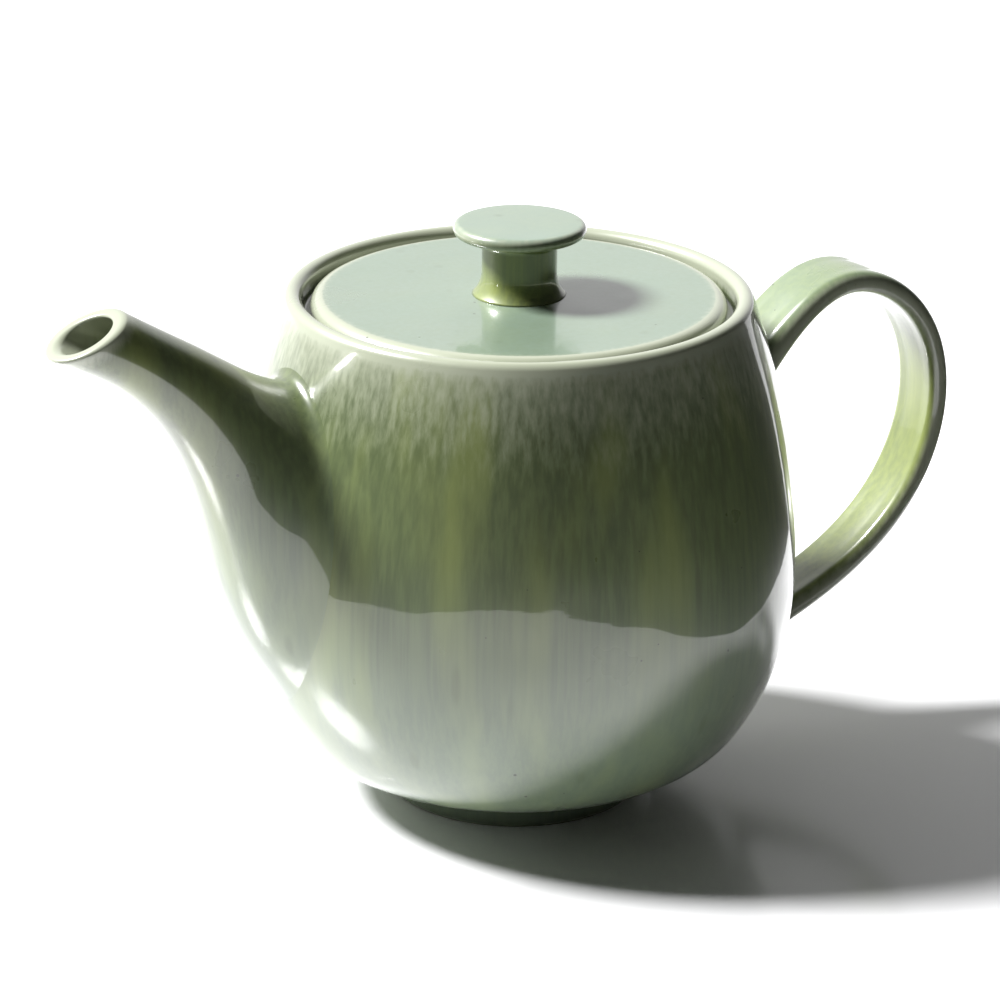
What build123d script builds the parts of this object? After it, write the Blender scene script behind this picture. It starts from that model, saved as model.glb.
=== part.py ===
from build123d import *
from math import asin, cos, degrees, radians, sin, sqrt
import os

# A glazed stoneware teapot of about one litre: pot, spout and handle luted together,
# and a flat lid with a mushroom knob that lifts out of a recessed seat.
# Frame: +Z up, the pot's axis is Z, the foot stands on Z = 0, the spout points to -X
# and the handle to +X. Sizes are in millimetres, angles in degrees.

# --- pot -----------------------------------------------------------------------------
BELLY_RADIUS = 67.5        # widest outside radius
BELLY_HEIGHT = 55.4        # height of the widest ring
WALL_TOP_RADIUS = 55.5     # outside of the wall where the lip's round begins
WALL_TOP_HEIGHT = 123.75   # height of that ring
LIP_THICKNESS = 4.4        # the lip is a full round of this thickness
WALL = 4.2                 # side wall
FLOOR = 5.0                # floor at the axis
HAUNCH_RADIUS = 65.8       # first arc below the belly
HAUNCH_TURN = 33.4         # how far it turns from upright
CORNER_RADIUS = 20.8       # tighter arc between side and base
CORNER_TURN = 31.6
BASE_RADIUS = 80.0         # shallow arc of the underside
BASE_TURN = 20.0
FOOT_RADIUS = 32.0         # outside of the foot ring
FOOT_WIDTH = 4.5
FOOT_ROUND = 0.8           # worn edges of the foot ring

# --- seat for the lid ----------------------------------------------------------------
LID_CLEARANCE = 2.0        # gap all round between the lid and the lip
LID_DROP = 0.9             # lid's top below the top of the lip
LID_THICKNESS = 5.0
LID_SHOULDER = 2.8         # round on the lid's top edge
LID_UNDERCUT = 1.0         # round on its lower edge
SEAT_WIDTH = 6.0           # ledge that carries the lid
SEAT_DEPTH = 3.5           # thickness of the ledge at its inner edge
SEAT_SPRING = 7.0          # the ledge springs from the wall this far below that

# --- locating flange under the lid, and the steam vent ---------------------------------
FLANGE_CLEARANCE = 1.0     # between the flange and the pot's mouth
FLANGE_THICKNESS = 3.4
FLANGE_DEPTH = 8.0
VENT_DIAMETER = 4.0
VENT_RADIUS = 20.0         # distance from the axis
VENT_ANGLE = 61.0          # from +X towards +Y

# --- knob ------------------------------------------------------------------------------
KNOB_RADIUS = 15.7
KNOB_EDGE = 3.1            # thickness of the disc's rounded edge
KNOB_HEIGHT = 17.4         # above the lid
KNOB_NECK = 8.9            # stem radius under the disc
KNOB_FOOT = 11.2           # stem radius on the lid
KNOB_WAIST = 5.5           # height at which the stem's flare has closed in
KNOB_SLOPE = 1.4           # drop of the disc's underside from edge to stem

# --- spout -----------------------------------------------------------------------------
SPOUT_HEIGHT = 73.2        # height of the root's centre
SPOUT_SINK = 7.2           # the first section starts this far inside the wall
SPOUT_WALL = 3.4
SPOUT_LIP_ROUND = 0.9
# Sections from root to mouth: the underside and the top in side view, each as distance
# out from the root's centre and height above it, and the half width.
SPOUT_SECTIONS = [
    ((4.5, -38.2), (-2.5, 37.0), 22.6),
    ((15.2, -19.4), (4.4, 39.3), 20.2),
    ((22.1, 6.8), (12.2, 43.4), 15.6),
    ((31.5, 30.3), (23.1, 50.3), 12.1),
    ((44.4, 44.2), (32.5, 56.0), 10.3),
    ((60.0, 52.8), (41.8, 61.8), 9.6),
]

# --- strainer: holes through the wall behind the spout ---------------------------------
STRAINER_DIAMETER = 4.0
STRAINER_RINGS = [(7.0, 6), (14.0, 12)]    # ring radius and its holes

# --- handle ----------------------------------------------------------------------------
HANDLE_TOP_DROP = 31.5     # upper root on the wall, below the top of the wall
HANDLE_FOOT_HEIGHT = 28.0  # lower root on the wall, above the table
# Centre line of the strap as distance out and up: the first four points from the upper
# root and the last three from the lower. It starts and ends inside the wall.
HANDLE_UPPER = [(-6.1, -4.2), (5.9, 12.0), (24.4, 23.6), (44.2, 15.0)]
HANDLE_LOWER = [(45.2, 25.0), (22.0, 7.2), (-7.0, -4.4)]
HANDLE_REACH = 50.1        # the strap's furthest point, beyond the belly
HANDLE_GRIP_DROP = 11.2    # and how far below the upper root it is
HANDLE_TOP_LEAN = 60.0     # the strap leaves the wall at this angle above level
HANDLE_FOOT_LEAN = 22.0    # and comes back at this angle below level
# Strap sections, evenly spaced from the upper root to the lower: width, thickness.
HANDLE_SECTIONS = [
    (20.5, 9.0),
    (19.6, 7.4),
    (18.9, 6.2),
    (18.4, 5.6),
    (18.0, 5.4),
    (17.5, 5.3),
    (17.1, 5.2),
    (16.9, 5.2),
    (16.7, 5.2),
    (16.6, 5.4),
    (16.8, 5.8),
    (17.4, 6.8),
    (18.5, 8.4),
]

# --- worked out from the sizes above ---------------------------------------------------
WALL_RISE = WALL_TOP_HEIGHT - BELLY_HEIGHT
DRAW_IN = BELLY_RADIUS - WALL_TOP_RADIUS
UPPER_RADIUS = (WALL_RISE**2 + DRAW_IN**2) / (2 * DRAW_IN)
UPPER_TURN = degrees(asin(WALL_RISE / UPPER_RADIUS))
LIP_ROUND = LIP_THICKNESS / 2
RIM_HEIGHT = WALL_TOP_HEIGHT + LIP_ROUND * (1 - sin(radians(UPPER_TURN)))
LIP_INNER = WALL_TOP_RADIUS - LIP_ROUND * (1 + cos(radians(UPPER_TURN)))
LID_TOP = RIM_HEIGHT - LID_DROP
LID_RADIUS = LIP_INNER - LID_CLEARANCE
SEAT_HEIGHT = LID_TOP - LID_THICKNESS
MOUTH_RADIUS = LIP_INNER - SEAT_WIDTH
FLANGE_RADIUS = MOUTH_RADIUS - FLANGE_CLEARANCE
SPRING_HEIGHT = SEAT_HEIGHT - SEAT_DEPTH - SEAT_SPRING
SPRING_TURN = degrees(asin((SPRING_HEIGHT - BELLY_HEIGHT) / (UPPER_RADIUS - WALL)))
KNOB_TOP = LID_TOP + KNOB_HEIGHT


def wall_radius(height):
    """Outside radius of the pot between the haunch and the lip."""
    arc = UPPER_RADIUS if height > BELLY_HEIGHT else HAUNCH_RADIUS
    return BELLY_RADIUS - arc + sqrt(arc**2 - (height - BELLY_HEIGHT) ** 2)


def wall_line(inset, top_turn):
    """Draws the wall's line from its top to the end of the base, inset from the outside."""
    belly = (BELLY_RADIUS - inset, BELLY_HEIGHT)
    rise = JernArc(belly, (0, 1), UPPER_RADIUS - inset, top_turn)
    haunch = JernArc(belly, (0, -1), HAUNCH_RADIUS - inset, -HAUNCH_TURN)
    corner = JernArc(haunch @ 1, haunch % 1, CORNER_RADIUS - inset, -CORNER_TURN)
    base = JernArc(corner @ 1, corner % 1, BASE_RADIUS - inset, -BASE_TURN)
    return rise, base


# The pot's outside as one full solid, which the spout and the handle are cut to fit.
with BuildPart() as envelope:
    with BuildSketch(Plane.XZ):
        with BuildLine():
            outside, underside = wall_line(0, UPPER_TURN)
            BASE_HEIGHT = (underside @ 1).Y
            Polyline(underside @ 1, (0, BASE_HEIGHT), (0, WALL_TOP_HEIGHT), outside @ 1)
        make_face()
    revolve(axis=Axis.Z)

# --- pot body: wall, lip, seat, floor, foot ring and strainer ----------------------------
with BuildPart() as pot_body:
    with BuildSketch(Plane.XZ) as pot_section:
        with BuildLine():
            outside, underside = wall_line(0, UPPER_TURN)
            inside, floor_line = wall_line(WALL, SPRING_TURN)
            lip = JernArc(outside @ 1, outside % 1, LIP_ROUND, 180 - UPPER_TURN)
            Polyline(
                lip @ 1,
                (LIP_INNER, SEAT_HEIGHT),
                (MOUTH_RADIUS, SEAT_HEIGHT),
                (MOUTH_RADIUS, SEAT_HEIGHT - SEAT_DEPTH),
                inside @ 1,
            )
            Polyline(underside @ 1, (0, BASE_HEIGHT), (0, BASE_HEIGHT + FLOOR), floor_line @ 1)
        make_face()
        foot_top = BASE_HEIGHT + FLOOR / 2
        with Locations((FOOT_RADIUS - FOOT_WIDTH / 2, foot_top / 2)):
            Rectangle(FOOT_WIDTH, foot_top)
        fillet(pot_section.vertices().group_by(Axis.Y)[0], FOOT_ROUND)
    revolve(axis=Axis.Z)
    with BuildSketch(Plane((0, 0, SPOUT_HEIGHT), x_dir=(0, 1, 0), z_dir=(-1, 0, 0))):
        Circle(STRAINER_DIAMETER / 2)
        for ring_radius, hole_count in STRAINER_RINGS:
            with PolarLocations(ring_radius, hole_count):
                Circle(STRAINER_DIAMETER / 2)
    extrude(amount=BELLY_RADIUS + WALL, mode=Mode.SUBTRACT)
pot_body.part.label = "pot_body"

# --- lid: plate, locating flange and vent -------------------------------------------------
with BuildPart() as lid:
    with BuildSketch(Plane.XZ) as lid_section:
        with BuildLine():
            Polyline(
                (0, LID_TOP),
                (LID_RADIUS, LID_TOP),
                (LID_RADIUS, SEAT_HEIGHT),
                (FLANGE_RADIUS, SEAT_HEIGHT),
                (FLANGE_RADIUS, SEAT_HEIGHT - FLANGE_DEPTH),
                (FLANGE_RADIUS - FLANGE_THICKNESS, SEAT_HEIGHT - FLANGE_DEPTH),
                (FLANGE_RADIUS - FLANGE_THICKNESS, SEAT_HEIGHT),
                (0, SEAT_HEIGHT),
                close=True,
            )
        make_face()
        edge_corners = lid_section.vertices().group_by(Axis.X)[-1].sort_by(Axis.Y)
        fillet(edge_corners[-1], LID_SHOULDER)
        fillet(edge_corners[0], LID_UNDERCUT)
        fillet(lid_section.vertices().group_by(Axis.Y)[0], FLANGE_THICKNESS / 3)
    revolve(axis=Axis.Z)
    with Locations(Plane.XY.offset(LID_TOP)):
        with PolarLocations(VENT_RADIUS, 1, start_angle=VENT_ANGLE):
            Hole(VENT_DIAMETER / 2, depth=LID_THICKNESS)
lid.part.label = "lid"

# --- knob ---------------------------------------------------------------------------------
with BuildPart() as lid_knob:
    with BuildSketch(Plane.XZ):
        with BuildLine():
            edge_low = (KNOB_RADIUS - KNOB_EDGE / 2, KNOB_TOP - KNOB_EDGE)
            edge_high = (KNOB_RADIUS - KNOB_EDGE / 2, KNOB_TOP)
            neck = (KNOB_NECK, KNOB_TOP - KNOB_EDGE - KNOB_SLOPE)
            stem = Line((KNOB_NECK, LID_TOP + KNOB_WAIST), neck)
            flare = TangentArc(stem @ 0, (KNOB_FOOT, LID_TOP), tangent=(0, -1))
            disc_edge = ThreePointArc(edge_low, (KNOB_RADIUS, KNOB_TOP - KNOB_EDGE / 2), edge_high)
            Line(neck, edge_low)
            Polyline(edge_high, (0, KNOB_TOP), (0, LID_TOP), flare @ 1)
        make_face()
    revolve(axis=Axis.Z)
lid_knob.part.label = "lid_knob"

# --- spout: a hollow loft, cut to the pot's outside ---------------------------------------
SPOUT_ROOT_X = -(wall_radius(SPOUT_HEIGHT) - SPOUT_SINK)
SPOUT_ROOT = Vector(SPOUT_ROOT_X, 0, SPOUT_HEIGHT)


def spout_rings(inset):
    """Plane and outline points of each spout section, smaller than the outside by inset."""
    for (low_out, low_up), (high_out, high_up), half_width in SPOUT_SECTIONS:
        low = SPOUT_ROOT + Vector(-low_out, 0, low_up)
        high = SPOUT_ROOT + Vector(-high_out, 0, high_up)
        across = half_width - inset
        upright = (high - low).length / 2 - inset
        facing = (high - low).cross(Vector(0, 1, 0))
        turns = [radians(angle) for angle in range(0, 360, 30)]
        outline = [(across * cos(turn), upright * sin(turn)) for turn in turns]
        yield Plane((low + high) / 2, x_dir=(0, 1, 0), z_dir=facing), outline


with BuildPart() as spout_bore:
    for plane, outline in spout_rings(SPOUT_WALL):
        with BuildSketch(plane):
            with BuildLine():
                Spline(outline, periodic=True)
            make_face()
    loft()

with BuildPart() as spout:
    for plane, outline in spout_rings(0):
        with BuildSketch(plane):
            with BuildLine():
                Spline(outline, periodic=True)
            make_face()
    loft()
    add(spout_bore.part, mode=Mode.SUBTRACT)
    fillet(spout.faces().sort_by(Axis.X)[0].edges(), SPOUT_LIP_ROUND)
    add(envelope.part, mode=Mode.SUBTRACT)
spout.part.label = "spout"

# --- handle: a strap lofted along its loop, cut to the pot's outside ----------------------
TOP_ROOT_HEIGHT = WALL_TOP_HEIGHT - HANDLE_TOP_DROP
TOP_ROOT = Vector(wall_radius(TOP_ROOT_HEIGHT), 0, TOP_ROOT_HEIGHT)
FOOT_ROOT = Vector(wall_radius(HANDLE_FOOT_HEIGHT), 0, HANDLE_FOOT_HEIGHT)
GRIP = Vector(BELLY_RADIUS + HANDLE_REACH, 0, TOP_ROOT_HEIGHT - HANDLE_GRIP_DROP)

with BuildPart() as handle:
    with BuildLine() as loop:
        Spline(
            [TOP_ROOT + Vector(out, 0, up) for out, up in HANDLE_UPPER]
            + [GRIP]
            + [FOOT_ROOT + Vector(out, 0, up) for out, up in HANDLE_LOWER],
            tangents=[
                (cos(radians(HANDLE_TOP_LEAN)), 0, sin(radians(HANDLE_TOP_LEAN))),
                (-cos(radians(HANDLE_FOOT_LEAN)), 0, -sin(radians(HANDLE_FOOT_LEAN))),
            ],
        )
    strap = loop.wire()
    for step, (width, thickness) in enumerate(HANDLE_SECTIONS):
        along = strap.length * step / (len(HANDLE_SECTIONS) - 1)
        centre = strap.position_at(along, position_mode=PositionMode.LENGTH)
        facing = strap.tangent_at(along, position_mode=PositionMode.LENGTH)
        with BuildSketch(Plane(centre, x_dir=(0, 1, 0), z_dir=facing)):
            SlotOverall(width, thickness)
    loft()
    add(envelope.part, mode=Mode.SUBTRACT)
handle.part.label = "handle"

os.makedirs("parts", exist_ok=True)
for piece in (pot_body, spout, handle, lid, lid_knob):
    export_step(piece.part, f"parts/{piece.part.label}.step")
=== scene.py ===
from math import acos, asin, cos, pi, radians, sin, sqrt, tan

import bpy
import numpy as np
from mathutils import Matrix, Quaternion, Vector


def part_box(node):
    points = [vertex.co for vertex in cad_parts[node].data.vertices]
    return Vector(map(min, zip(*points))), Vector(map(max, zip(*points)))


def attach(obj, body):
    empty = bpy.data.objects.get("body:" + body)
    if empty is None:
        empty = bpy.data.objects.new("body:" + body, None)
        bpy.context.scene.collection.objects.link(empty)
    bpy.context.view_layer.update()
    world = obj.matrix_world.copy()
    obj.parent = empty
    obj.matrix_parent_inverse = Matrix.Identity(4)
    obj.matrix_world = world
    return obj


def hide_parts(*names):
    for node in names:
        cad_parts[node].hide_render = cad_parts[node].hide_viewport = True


bl_info = {
    "name": "Glazed Stoneware Teapot",
    "version": (1, 0, 0),
    "blender": (4, 5, 0),
    "location": "3D View > Sidebar > Teapot",
    "description": "Throws, joins and glazes a one-litre stoneware teapot round its packed frame",
    "category": "Object",
}

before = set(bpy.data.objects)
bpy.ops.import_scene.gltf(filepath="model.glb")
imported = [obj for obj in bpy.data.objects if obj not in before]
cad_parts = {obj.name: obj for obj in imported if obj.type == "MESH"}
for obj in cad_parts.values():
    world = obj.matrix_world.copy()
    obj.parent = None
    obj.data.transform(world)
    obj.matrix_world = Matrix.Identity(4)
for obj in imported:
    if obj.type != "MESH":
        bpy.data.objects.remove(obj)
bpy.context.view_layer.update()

MM = 0.001
BREAK_AND_LIGHT = "glaze_break"  # how far the glaze has run off an edge, and inside the spout's mouth painted light: 0 is full depth, 1 is bare of colour

# Spout sections from root to mouth, in millimetres: the underside and the top in side view,
# each as distance out from the root's centre and height above it, and the half width.
SPOUT_SECTIONS = (
    ((4.5, -38.2), (-2.5, 37.0), 22.6),
    ((15.2, -19.4), (4.4, 39.3), 20.2),
    ((22.1, 6.8), (12.2, 43.4), 15.6),
    ((31.5, 30.3), (23.1, 50.3), 12.1),
    ((44.4, 44.2), (32.5, 56.0), 10.3),
    ((60.0, 52.8), (41.8, 61.8), 9.6),
)

# Handle centre line, in millimetres out from a root on the wall and up from it: four points
# from the upper root, the furthest point beyond the belly, and three from the lower root.
HANDLE_UPPER = ((-6.1, -4.2), (5.9, 12.0), (24.4, 23.6), (44.2, 15.0))
HANDLE_GRIP = (50.1, -11.2)
HANDLE_LOWER = ((45.2, 25.0), (22.0, 7.2), (-7.0, -4.4))
# Strap sections evenly spaced from the upper root to the lower: width and thickness.
HANDLE_SECTIONS = (
    *((20.5, 9.0), (19.6, 7.4), (18.9, 6.2), (18.4, 5.6), (18.0, 5.4), (17.5, 5.3), (17.1, 5.2)),
    *((16.9, 5.2), (16.7, 5.2), (16.6, 5.4), (16.8, 5.8), (17.4, 6.8), (18.5, 8.4)),
)
HANDLE_RISE, HANDLE_FALL = 60, 22  # degrees up from the upper root and down into the lower
HANDLE_CROWN = 0.35  # how much lower the flat faces lie at their sides, in millimetres

ARC_ENDS = (-33.4, -65, -85)  # of the haunch, corner and base arcs, in degrees from level
STRAINER_RINGS = ((7, 6), (14, 12))  # the radius in millimetres and the holes of each
STRAINER_REACH = 24  # length of the punches in millimetres, enough to pass through the wall
VENT_ANGLE = 61  # degrees round from the handle
POT_SEGMENTS, LID_SEGMENTS, KNOB_SEGMENTS = 288, 256, 160

# In millimetres: the flat kept beside a rounded corner, how far a soft joint's end lies under
# the wall's surface, and how far on and how deep its last ring is tucked in.
FLAT, SKIRT_SINK, TUCK_REACH, TUCK_SINK = 0.3, 0.12, 0.6, 0.35

# The stage, with lengths in metres and angles in degrees.
TABLE_HALF, ROOM_DISTANCE, ROOM_HEIGHT = 6, 2.6, 2.8
ROOM_ARC, ROOM_STEPS = (-80, 135), 24  # round from the camera to its right
EDGE_AND_SHADOW_SWAY = 0.3  # share by which the table's edge moves out in front and in at the right; at the right the dark sheet paints the pot's shadow on the table into reflections
DARK_WAY = 27  # to the camera's right, where the room is darkest
WINDOW_BEHIND, WINDOW_LIFT, WINDOW_SPREAD = 9, 47, 16
CAMERA_LENS, CAMERA_SENSOR = 134.1, 36  # millimetres
CAMERA_SHIFT, CAMERA_ROLL = (-0.01635, 0.02613), 0.68
CAMERA_AIM = 65.2  # millimetres from the table to the point it looks at
CAMERA_CLIP = (0.05, 30)


def linear(code):
    """A hex sRGB colour as the linear red, green and blue that the shaders take."""
    shares = [int(code[i : i + 2], 16) / 255 for i in (1, 3, 5)]
    return tuple(s / 12.92 if s <= 0.04045 else ((s + 0.055) / 1.055) ** 2.4 for s in shares)


def length(name, description, millimetres):
    return bpy.props.FloatProperty(
        name=name, description=description, default=millimetres * MM, min=0, unit="LENGTH", precision=5
    )


def colour(name, description, code):
    return bpy.props.FloatVectorProperty(
        name=name, description=description, default=linear(code), min=0, max=1, size=3, subtype="COLOR"
    )


# --- what a user would change ------------------------------------------------------------


class PotSizes(bpy.types.PropertyGroup):
    belly_radius: length("Belly radius", "Widest outside radius", 67.5)
    belly_height: length("Belly height", "Height of the widest ring above the table", 55.4)
    top_radius: length("Top radius", "Outside of the wall where the lip's round begins", 55.5)
    top_height: length("Top height", "Height of that ring above the table", 123.75)
    lip: length("Lip", "Thickness of the full-round lip", 4.4)
    wall: length("Wall", "Thickness of the side wall", 4.2)
    floor: length("Floor", "Thickness of the floor at the axis", 5.0)
    haunch_radius: length("Haunch radius", "First arc below the belly", 65.8)
    corner_radius: length("Corner radius", "Tighter arc between side and base", 20.8)
    base_radius: length("Base radius", "Shallow arc of the underside", 80.0)
    foot_radius: length("Foot radius", "Outside of the foot ring", 32.0)
    foot_width: length("Foot width", "Width of the foot ring", 4.5)
    seat_width: length("Seat width", "Ledge that carries the lid", 6.0)
    seat_depth: length("Seat depth", "Thickness of the ledge at its inner edge", 3.5)
    seat_spring: length("Seat spring", "How far below the ledge it springs from the wall", 7.0)
    hole: length("Strainer hole", "Diameter of each hole behind the spout", 4.0)


class LidSizes(bpy.types.PropertyGroup):
    clearance: length("Clearance", "Gap all round between the lid and the lip", 2.0)
    drop: length("Drop", "How far the lid's top lies below the top of the lip", 0.9)
    thickness: length("Thickness", "Thickness of the plate", 5.0)
    shoulder: length("Shoulder", "Round on the top edge", 2.8)
    flange_gap: length("Flange gap", "Between the flange and the pot's mouth", 1.0)
    flange_thickness: length("Flange thickness", "Thickness of the locating flange", 3.4)
    flange_depth: length("Flange depth", "How far the flange reaches into the pot", 8.0)
    vent: length("Vent", "Diameter of the steam vent", 4.0)
    vent_radius: length("Vent radius", "Distance of the vent from the axis", 20.0)
    knob_radius: length("Knob radius", "Radius of the knob's disc", 15.7)
    knob_edge: length("Knob edge", "Thickness of the disc's rounded edge", 3.1)
    knob_height: length("Knob height", "Height of the knob above the lid", 17.4)
    knob_neck: length("Knob neck", "Radius of the stem under the disc", 8.9)
    knob_foot: length("Knob foot", "Radius of the stem on the lid", 11.2)
    knob_waist: length("Knob waist", "Height at which the stem's flare has closed in", 5.5)


class LimbSizes(bpy.types.PropertyGroup):
    spout_height: length("Spout height", "Height of the centre of the spout's root", 73.2)
    spout_sink: length("Spout sink", "How far inside the wall the first section lies", 7.2)
    spout_wall: length("Spout wall", "Wall thickness of the spout", 3.4)
    spout_lip: length("Spout lip", "Round on both edges of the spout's mouth", 1.2)
    spout_lift: length("Spout lift", "Height above the wall at which the soft joint starts", 4.2)
    spout_spread: length("Spout spread", "How far the soft joint runs out over the pot", 4.4)
    handle_drop: length("Handle drop", "Upper root below the top of the wall", 31.5)
    handle_foot: length("Handle foot", "Height of the lower root above the table", 28.0)
    handle_lift: length("Handle lift", "Height above the wall at which the soft joint starts", 3.6)
    handle_spread: length("Handle spread", "How far the soft joint runs out over the pot", 3.0)


class GlazeColours(bpy.types.PropertyGroup):
    deep: colour("Deep olive", "Where the glaze lies thickest", "#485238")
    olive: colour("Olive", "Usual depth of glaze on the walls", "#5F6A46")
    spring: colour("Spring green", "Clearer runs in the glaze", "#7E884C")
    # Mist is milky glaze, and low on the pot and spout it is also a painted reflection of the white
    # table.
    mist_and_reflection: colour("Mist", "Milky blue-grey bloom on flat and low parts", "#76877A")
    # Cream is also painted light inside the spout's mouth.
    cream: colour("Cream", "Where the glaze has run thin off an edge", "#969B88")
    iron: colour("Iron", "Specks and short dark runs from the clay", "#20231A")


class StageSettings(bpy.types.PropertyGroup):
    azimuth: bpy.props.FloatProperty(
        name="Azimuth", description="Camera's angle round the pot", default=radians(-29), subtype="ANGLE"
    )
    elevation: bpy.props.FloatProperty(
        name="Elevation",
        description="Camera's angle above the table", default=radians(21.37), subtype="ANGLE"
    )
    distance: length("Distance", "Camera to the point it looks at", 900)
    sun: bpy.props.FloatProperty(
        name="Window", description="Strength of the window's light", default=10.5, min=0
    )
    table_edge: length("Table edge", "Where the white table ends, towards the camera", 265)


# --- shapes ------------------------------------------------------------------------------


def spin(centre, radius, start, end, steps):
    """Points of an arc, angles in radians from outwards."""
    turns = np.linspace(start, end, steps)
    return [(centre[0] + radius * cos(a), centre[1] + radius * sin(a)) for a in turns]


def soften(line, rounds):
    """Rounds the named corners of a side view, with a short flat kept before and after each."""
    made = []
    for i, here in enumerate(line):
        size = rounds.get(i)
        if not size:
            made.append(here)
            continue
        p, before, after = (np.array(v) for v in (here, line[i - 1], line[i + 1]))
        into, out = (p - before) / np.linalg.norm(p - before), (after - p) / np.linalg.norm(after - p)
        half = acos(max(-1.0, min(1.0, float(into @ out)))) / 2
        reach = size * tan(half)
        centre = p + (out - into) / np.linalg.norm(out - into) * size / cos(half)
        first, last = p - into * reach, p + out * reach
        made.append(tuple(first - into * FLAT * MM))
        for share in np.linspace(0, 1, 6):
            chord = first * (1 - share) + last * share - centre
            made.append(tuple(centre + chord / np.linalg.norm(chord) * size))
        made.append(tuple(last + out * FLAT * MM))
    return made


def spread_out(line, longest):
    """Divides the runs of a side view that are longer than that."""
    made = [line[0]]
    for a, b in zip(line, line[1:]):
        steps = max(1, int(np.hypot(b[0] - a[0], b[1] - a[1]) / longest))
        made += [tuple(np.array(a) + (np.array(b) - a) * k / steps) for k in range(1, steps + 1)]
    return made


def smooth_through(values, at):
    """A natural cubic through rows of values, spaced by the first two columns' distance."""
    values = np.array(values, float)
    knots = np.concatenate([[0], np.cumsum(np.linalg.norm(np.diff(values[:, :2], axis=0), axis=1))])
    n, gap = len(knots), np.diff(knots)
    system, right = np.eye(n), np.zeros_like(values)
    for i in range(1, n - 1):
        system[i, i - 1 : i + 2] = gap[i - 1], 2 * (gap[i - 1] + gap[i]), gap[i]
        right[i] = 6 * ((values[i + 1] - values[i]) / gap[i] - (values[i] - values[i - 1]) / gap[i - 1])
    bend = np.linalg.solve(system, right)
    t = np.asarray(at) * knots[-1]
    k = np.clip(np.searchsorted(knots, t, side="right") - 1, 0, n - 2)
    h, a, b = gap[k][:, None], (knots[k + 1] - t)[:, None], (t - knots[k])[:, None]
    return (
        bend[k] * a**3 / (6 * h)
        + bend[k + 1] * b**3 / (6 * h)
        + (values[k] / h - bend[k] * h / 6) * a
        + (values[k + 1] / h - bend[k + 1] * h / 6) * b
    )


class Wall:
    """The pot's outside below the lip, as arcs that run into each other."""

    def __init__(self, sizes):
        rise = sizes.top_height - sizes.belly_height
        draw = sizes.belly_radius - sizes.top_radius
        self.upper = (rise**2 + draw**2) / (2 * draw)
        self.turn = asin(rise / self.upper)
        haunch_end, corner_end, self.base_end = (radians(end) for end in ARC_ENDS)

        def moved(centre, step, turn):
            return centre[0] + step * cos(turn), centre[1] + step * sin(turn)

        upper_centre = (sizes.belly_radius - self.upper, sizes.belly_height)
        haunch_centre = (sizes.belly_radius - sizes.haunch_radius, sizes.belly_height)
        corner_centre = moved(haunch_centre, sizes.haunch_radius - sizes.corner_radius, haunch_end)
        self.base_centre = moved(corner_centre, sizes.corner_radius - sizes.base_radius, corner_end)
        self.base = sizes.base_radius
        self.arcs = (
            (upper_centre, self.upper, self.turn, 0.0, 44),
            (haunch_centre, sizes.haunch_radius, 0.0, haunch_end, 28),
            (corner_centre, sizes.corner_radius, haunch_end, corner_end, 14),
            (self.base_centre, self.base, corner_end, self.base_end, 14),
        )

    def down(self, inset, top, end):
        """The wall's line from an angle on the upper arc to an angle on the base."""
        made = []
        for i, (centre, radius, a, b, steps) in enumerate(self.arcs):
            a, b = (top, b) if i == 0 else (a, end) if i == 3 else (a, b)
            made += spin(centre, radius - inset, a, b, steps)[0 if i == 0 else 1 :]
        return made

    def radius(self, height):
        """Outside radius at each height above the corner arc's end."""
        height = np.asarray(height, float)
        made = np.zeros_like(height)
        for centre, radius, _, b, _ in reversed(self.arcs[:3]):
            reach = np.sqrt(np.maximum(radius**2 - (height - centre[1]) ** 2, 0)) + centre[0]
            made = np.where((made == 0) | (height > centre[1] + radius * sin(b)), reach, made)
        return made

    def outward(self, points):
        """Unit vectors square to the wall at points near it."""
        around = np.hypot(points[..., 0], points[..., 1])
        slope = (self.radius(points[..., 2] + MM) - self.radius(points[..., 2] - MM)) / (2 * MM)
        made = np.stack([points[..., 0] / around, points[..., 1] / around, -slope], -1)
        return made / np.linalg.norm(made, axis=-1, keepdims=True)

    def onto(self, points, sink):
        """The points moved level onto the wall, sunk below its surface."""
        around = np.hypot(points[..., 0], points[..., 1])
        share = (self.radius(points[..., 2]) - sink) / around
        return np.stack([points[..., 0] * share, points[..., 1] * share, points[..., 2]], -1)

    def gap(self, points):
        return np.hypot(points[..., 0], points[..., 1]) - self.radius(points[..., 2])


def joined(lines, wall, lift, spread, steps):
    """Ends a bundle of lines on the wall with a soft joint. lines holds [along, around, xyz]
    and starts inside the wall. Returns the joint's rings and where each line leaves it."""
    count, around = lines.shape[:2]
    gaps = wall.gap(lines)
    leaves, seam = np.zeros(around, int), np.zeros((around, 3))
    for j in range(around):
        k = next(i for i in range(count) if gaps[i, j] > 0)
        share = gaps[k, j] / max(gaps[k, j] - gaps[k - 1, j], 1e-9) if k else 0
        seam[j] = lines[k, j] * (1 - share) + lines[k - 1, j] * share
        leaves[j] = next(i for i in range(k, count) if gaps[i, j] > lift)
    start = lines[leaves, np.arange(around)]
    middle = seam.mean(0)
    normal = wall.outward(seam)
    turn = np.roll(seam, -1, 0) - np.roll(seam, 1, 0)
    away = np.cross(turn, normal)
    away /= np.linalg.norm(away, axis=1, keepdims=True)
    if ((seam - middle) * away).sum() < 0:
        away = -away
    end = wall.onto(seam + away * spread, SKIRT_SINK * MM)
    rings = [
        start * (1 - s) ** 2 + 2 * seam * s * (1 - s) + end * s * s for s in np.linspace(1, 0, steps)
    ]
    rings[0] = wall.onto(end + away * TUCK_REACH * MM, TUCK_SINK * MM)
    return rings, leaves


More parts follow.
